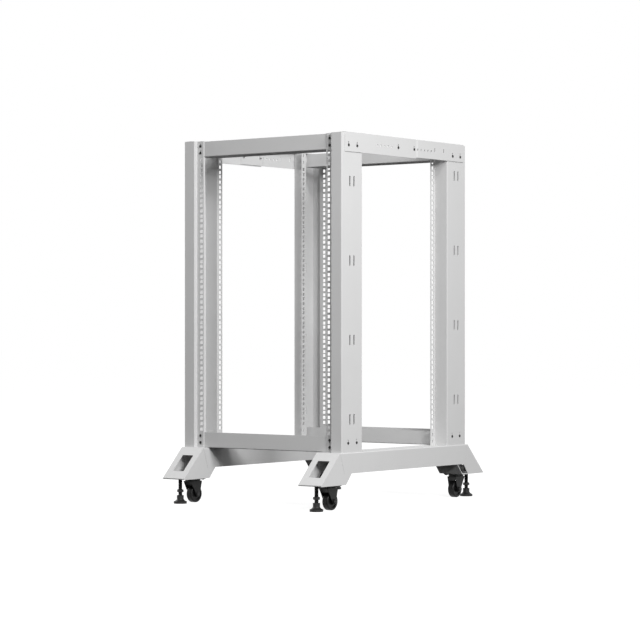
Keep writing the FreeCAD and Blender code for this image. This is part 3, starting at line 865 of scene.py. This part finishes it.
@dataclass
class Base:
    """The floor rails and the feet at their ends."""

    paint: Paintshop

    def dress(self) -> None:
        """Paints the floor rails and the feet."""
        for side in ("left", "right"):
            self.paint.coat_node("floor_rail_" + side, Coat.FRAME_PAINT)
        for corner in Corner:
            self.paint.coat_node("foot_" + corner.label, Coat.FRAME_PAINT)


@dataclass
class Castor:
    """One swivel castor: its plate bolts, its ball race and its axle nut.

    Attributes:
        paint: Where the pieces get their finish.
        corner: The corner that it stands at.
        reach: How far its swivel axis stands out past the posts' faces.
        trail: From the swivel axis to the axle.
        plate: Plate thickness.
        bolt_pitch: Between the plate's bolts, both ways.
        bolt: Bolt diameter.
        race_radius: The beads' middle radius.
        race_level: Height of the race's middle.
        axle_level: Height of the axle.
        axle_end: From the wheel's middle to the nut's inner face.
        axle: Axle diameter.
        axle_pitch: Pitch of the axle's thread.
        axle_tip: Length of the threaded tip.
        axle_nut: Nut size across its flats.
        axle_nut_height: Nut height.
        bead_thickness: A bead's size along the radius.
        bead_height: A bead's size along Z.
        bead_offset: How far each bead is over or under the race's middle.
    """

    paint: Paintshop
    corner: Corner
    reach: float = 8.5 * MM
    trail: float = 6.2 * MM
    plate: float = 2.5 * MM
    bolt_pitch: float = 42.0 * MM
    bolt: float = 6.0 * MM
    race_radius: float = 22.0 * MM
    race_level: float = 65.6 * MM
    axle_level: float = 25.0 * MM
    axle_end: float = 17.5 * MM
    axle: float = 8.0 * MM
    axle_pitch: float = 1.25 * MM
    axle_tip: float = 5.0 * MM
    axle_nut: float = 13.0 * MM
    axle_nut_height: float = 4.0 * MM
    bead_thickness: float = 1.6 * MM
    bead_height: float = 2.2 * MM
    bead_offset: float = 1.4 * MM

    def middle(self) -> Array:
        """The swivel axis in plan, at floor level."""
        along = self.corner.end * (SIZES.half_depth + self.reach)
        return np.array([self.corner.side * SIZES.foot_x, along, 0.0])

    def build(self) -> None:
        """Builds the plate's bolts and nuts, the race's beads and the axle's nut."""
        self.plate_bolts()
        self.race_beads()
        self.axle_end_nut()

    def plate_bolts(self) -> None:
        """Builds four bolts up through the plate and the foot's floor, with nuts over it."""
        half = self.bolt_pitch / 2
        across, along = np.meshgrid([-half, half], [-half, half])
        spots = np.stack([across, along, np.zeros_like(across)], axis=-1).reshape(-1, 3) + self.middle()
        heads = spots + np.array([0.0, 0.0, SIZES.foot_clearance - self.plate])
        bolts = Fasteners(
            self.paint,
            head=9.5 * MM,
            rise=2.4 * MM,
            key=3.5 * MM,
            shank=self.bolt,
            reach=6.0 * MM,
            nut=10.0 * MM,
            nut_height=4.5 * MM,
        )
        clamp = Clamp(heads, Facing.DOWN, self.plate + SIZES.sheet)
        bolts.fit("castor_" + self.corner.label, [clamp])

    def race_beads(self) -> None:
        """Builds the two beads round the ball race, which turn with the fork."""
        label = self.corner.label
        levels = (self.race_level - self.bead_offset, self.race_level + self.bead_offset)
        beads = [bead_ring(self.race_radius, self.bead_thickness, self.bead_height, z) for z in levels]
        race = Surface.joined(beads).copies(Facing.UP.turn, self.middle())
        piece = race.to_object("castor_race_" + label)
        self.paint.coat_piece(piece, Coat.CASTOR_STEEL, "castor_swivel_" + label, "castor_steel")

    def axle_end_nut(self) -> None:
        """Builds the nut and the threaded tip on the axle's outer end."""
        label = self.corner.label
        nut = hexagon_nut(self.axle_nut, self.axle_nut_height, self.axle)
        tip = screw_thread(self.axle, self.axle_pitch, 0.0, self.axle_tip)
        turn = Facing.across(self.corner.side).turn
        middle = self.middle() + np.array([0.0, -self.corner.end * self.trail, self.axle_level])
        place = middle + turn @ np.array([0.0, 0.0, self.axle_end])
        piece = Surface.joined([nut, tip]).copies(turn, place).to_object("castor_axle_nut_" + label)
        self.paint.coat_piece(piece, Coat.BLACK_OXIDE, "castor_swivel_" + label, "castor_steel")

    def dress(self) -> None:
        """Coats the castor's solids."""
        for part, coat in (
            ("castor_plate_", Coat.CASTOR_STEEL),
            ("castor_fork_", Coat.CASTOR_STEEL),
            ("castor_axle_", Coat.BLACK_OXIDE),
            ("castor_wheel_", Coat.WHEEL),
        ):
            self.paint.coat_node(part + self.corner.label, coat)


@dataclass
class Leveller:
    """One levelling foot: a threaded bar with a hexagon collar, over a bell-shaped pad.

    Attributes:
        paint: Where the pieces get their finish.
        corner: The corner that it stands at.
        reach: How far it stands out past the posts' faces.
        diameter: Bar diameter.
        pitch: Thread pitch.
        seat: Height of the bar's lower end, in the pad.
        top: Height of its upper end.
        collar: Collar size across its flats.
        collar_low: Height of the collar's lower face.
        collar_high: Height of its upper face.
    """

    paint: Paintshop
    corner: Corner
    reach: float = 64.5 * MM
    diameter: float = 12.0 * MM
    pitch: float = 1.75 * MM
    seat: float = 10.0 * MM
    top: float = 90.0 * MM
    collar: float = 17.0 * MM
    collar_low: float = 33.0 * MM
    collar_high: float = 41.0 * MM

    def build(self) -> None:
        """Builds the threaded bar and its collar, in place of the plain stem."""
        corner = self.corner
        along = corner.end * (SIZES.half_depth + self.reach)
        bar = screw_thread(self.diameter, self.pitch, self.seat, self.top)
        collar = hexagon_collar(self.collar, self.collar_low, self.collar_high)
        place = np.array([corner.side * SIZES.foot_x, along, 0.0])
        surface = Surface.joined([bar, collar]).copies(Facing.UP.turn, place)
        piece = surface.to_object("leveller_bar_" + corner.label)
        self.paint.coat_piece(piece, Coat.BLACK_OXIDE, "leveller_" + corner.label, "leveller_steel")
        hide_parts("leveller_stem_" + corner.label)

    def dress(self) -> None:
        """Coats the pad."""
        self.paint.coat_node("leveller_pad_" + self.corner.label, Coat.PAD)


@dataclass(frozen=True)
class Softbox:
    """A square area light.

    Attributes:
        name: The light's name.
        place: Where it hangs.
        width: Its side.
        watts: Its power.
    """

    name: str
    place: Point
    width: float
    watts: float

    def hang(self, aim: Point) -> None:
        """Makes the light and turns it towards the aim.

        Args:
            aim: The point that the light faces.
        """
        light = bpy.data.lights.new(self.name, "AREA")
        light.shape = "SQUARE"
        light.size = self.width
        light.energy = self.watts
        lamp = bpy.data.objects.new(self.name, light)
        bpy.context.scene.collection.objects.link(lamp)
        away = np.array(self.place) - np.array(aim)
        x, y, z = away / np.linalg.norm(away)
        lamp.location = self.place
        lamp.rotation_euler = (math.acos(z), 0.0, math.atan2(x, -y))


@dataclass
class Studio:
    """Floor, backdrop, lights and camera.

    Attributes:
        camera_place: Where the camera stands.
        camera_turn_deg: How far it is turned about Z from looking along +Y.
        lens_mm: Focal length.
        sensor_mm: Sensor width.
        lift: Upward shift of the picture, as a share of its width.
        aim: The point that the lights face.
        sky: Strength of the light from all round.
        floor_bounce: The floor's grey where it only reflects light.
        floor_grey: The floor's grey where it is seen, which keeps the shadow.
        floor_glow: Light added to the floor where it is seen.
        floor_reach: Half the floor's side.
        softboxes: The lights.
    """

    camera_place: Point = (4.0558, -5.3904, 0.5015)
    camera_turn_deg: float = 37.12
    lens_mm: float = 127.88
    sensor_mm: float = 36.0
    lift: float = 0.01656
    aim: Point = (0.0, 0.0, 0.55)
    sky: float = 0.43
    floor_bounce: float = 0.012
    floor_grey: float = 0.3
    floor_glow: float = 0.87
    floor_reach: float = 30.0
    softboxes: tuple[Softbox, ...] = (
        Softbox("side_key", (3.47, -1.13, 2.83), 0.8, 53.0),
        Softbox("low_key", (3.50, -2.02, 2.02), 0.8, 93.0),
        Softbox("high_key", (2.30, -2.07, 3.54), 0.8, 43.0),
        Softbox("left_fill", (-2.8, -0.3, 1.2), 1.2, 51.0),
    )

    def build(self) -> None:
        """Builds the whole studio."""
        self.backdrop()
        self.floor()
        for softbox in self.softboxes:
            softbox.hang(self.aim)
        self.camera()

    def backdrop(self) -> None:
        """A white world where it is seen, and a dimmer even sky for all other rays."""
        world = bpy.data.worlds.new("studio_world")
        bpy.context.scene.world = world
        world.use_nodes = True
        tree = ShaderTree(world.node_tree)
        tree.tree.nodes.clear()
        seen = self.seen_rays(tree)
        shade = tree.add("ShaderNodeBackground")
        shade.inputs["Color"].default_value = grey(1.0)
        shade.inputs["Strength"].default_value = self.sky
        white = tree.add("ShaderNodeBackground")
        white.inputs["Color"].default_value = grey(1.0)
        white.inputs["Strength"].default_value = 1.0
        mix = tree.add("ShaderNodeMixShader")
        out = tree.add("ShaderNodeOutputWorld")
        tree.link(seen, mix.inputs["Fac"])
        tree.link(shade.outputs["Background"], mix.inputs[1])
        tree.link(white.outputs["Background"], mix.inputs[2])
        tree.link(mix.outputs["Shader"], out.inputs["Surface"])

    @staticmethod
    def seen_rays(tree: ShaderTree) -> bpy.types.NodeSocket:
        """Adds the nodes that tell a seen ray from one that only carries light.

        Args:
            tree: Where the nodes go.

        Returns:
            A socket that is 1 for rays from the camera, a reflection or glass, and 0 for the rest.
        """
        path = tree.add("ShaderNodeLightPath")
        first = tree.add("ShaderNodeMath", operation="MAXIMUM")
        second = tree.add("ShaderNodeMath", operation="MAXIMUM")
        tree.link(path.outputs["Is Camera Ray"], first.inputs[0])
        tree.link(path.outputs["Is Glossy Ray"], first.inputs[1])
        tree.link(first.outputs[0], second.inputs[0])
        tree.link(path.outputs["Is Transmission Ray"], second.inputs[1])
        return second.outputs[0]

    def floor(self) -> None:
        """A flat floor, near white where it is seen and dull where it only reflects light."""
        reach = np.array([-self.floor_reach, self.floor_reach])
        across, along = np.meshgrid(reach, reach)
        points = np.stack([across, along, np.zeros_like(across)], axis=-1).reshape(-1, 3)
        mesh = bpy.data.meshes.new("studio_floor")
        mesh.from_pydata(points.tolist(), [], [[0, 1, 3, 2]])
        piece = bpy.data.objects.new("studio_floor", mesh)
        bpy.context.scene.collection.objects.link(piece)
        made = bpy.data.materials.new("studio_floor")
        made.use_nodes = True
        tree = ShaderTree(made.node_tree)
        tree.tree.nodes.clear()
        seen = self.seen_rays(tree)
        dull = tree.add("ShaderNodeBsdfDiffuse")
        dull.inputs["Color"].default_value = grey(self.floor_bounce)
        pale = tree.add("ShaderNodeBsdfDiffuse")
        pale.inputs["Color"].default_value = grey(self.floor_grey)
        glow = tree.add("ShaderNodeEmission")
        glow.inputs["Strength"].default_value = self.floor_glow
        both = tree.add("ShaderNodeAddShader")
        mix = tree.add("ShaderNodeMixShader")
        out = tree.add("ShaderNodeOutputMaterial")
        tree.link(pale.outputs["BSDF"], both.inputs[0])
        tree.link(glow.outputs["Emission"], both.inputs[1])
        tree.link(seen, mix.inputs["Fac"])
        tree.link(dull.outputs["BSDF"], mix.inputs[1])
        tree.link(both.outputs["Shader"], mix.inputs[2])
        tree.link(mix.outputs["Shader"], out.inputs["Surface"])
        mesh.materials.append(made)

    def camera(self) -> None:
        """A level camera at the photograph's place, with the picture shifted up a little."""
        data = bpy.data.cameras.new("camera")
        data.sensor_width = self.sensor_mm
        data.lens = self.lens_mm
        data.shift_y = self.lift
        data.clip_end = 100.0
        camera = bpy.data.objects.new("camera", data)
        bpy.context.scene.collection.objects.link(camera)
        camera.location = self.camera_place
        camera.rotation_euler = (math.pi / 2, 0.0, math.radians(self.camera_turn_deg))
        bpy.context.scene.camera = camera


def main() -> None:
    """Builds and dresses every sub-assembly in order, then the studio."""
    logging.basicConfig(level=logging.INFO, format="%(message)s")
    bpy.context.scene.view_settings.view_transform = "Standard"
    paint = Paintshop()
    fasteners = Fasteners(paint)
    for assembly in (Posts(paint, fasteners), Beams(paint, fasteners), TopRails(paint, fasteners)):
        assembly.build()
        assembly.dress()
    Base(paint).dress()
    for corner in Corner:
        for assembly in (Castor(paint, corner), Leveller(paint, corner)):
            assembly.build()
            assembly.dress()
    Studio().build()


if __name__ == "__main__":
    main()
